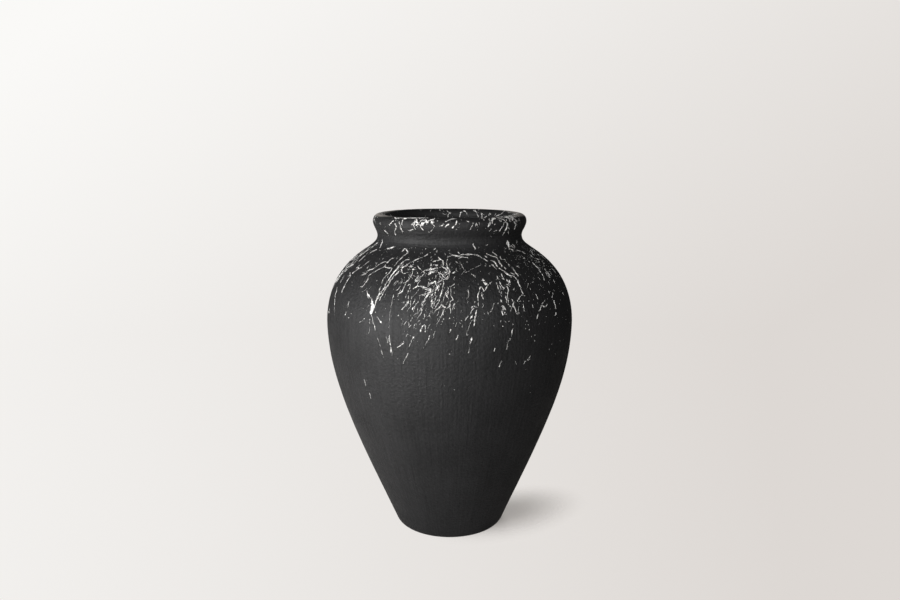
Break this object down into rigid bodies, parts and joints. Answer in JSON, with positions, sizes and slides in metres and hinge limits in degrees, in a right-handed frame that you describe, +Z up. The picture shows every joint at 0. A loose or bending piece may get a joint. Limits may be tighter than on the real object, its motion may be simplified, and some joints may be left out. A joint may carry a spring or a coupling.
{
  "type": "jar",
  "caption": "Wide-shouldered stoneware jar on a narrow foot, with a drawn-in neck and a rolled rim, matt black with white slip streaks. Holds stems, water or dry goods.",
  "frame": {"origin": "centre of the foot ring, on the ground the jar stands on", "axes": "+Z up along the axis of the jar; it is a body of revolution, and -Y faces the viewer of the picture"},
  "size_m": [0.337, 0.337, 0.44],
  "materials": {
    "black_stoneware": "matt black slip over stoneware, finely grained, brushed on",
    "joint_slip": "fired slip in the joints, the same black at its edges",
    "white_slip": "dry white slip, flicked on in thin streaks and specks"
  },
  "bodies": {
    "root": {"base_dish": "black_stoneware", "lower_wall": "black_stoneware", "belly_wall": "black_stoneware", "shoulder_wall": "black_stoneware", "neck_collar": "black_stoneware", "rolled_rim": "black_stoneware", "base_slip": "joint_slip", "waist_slip": "joint_slip", "belly_slip": "joint_slip", "throat_slip": "joint_slip", "neck_slip": "joint_slip"}
  },
  "joints": []
}
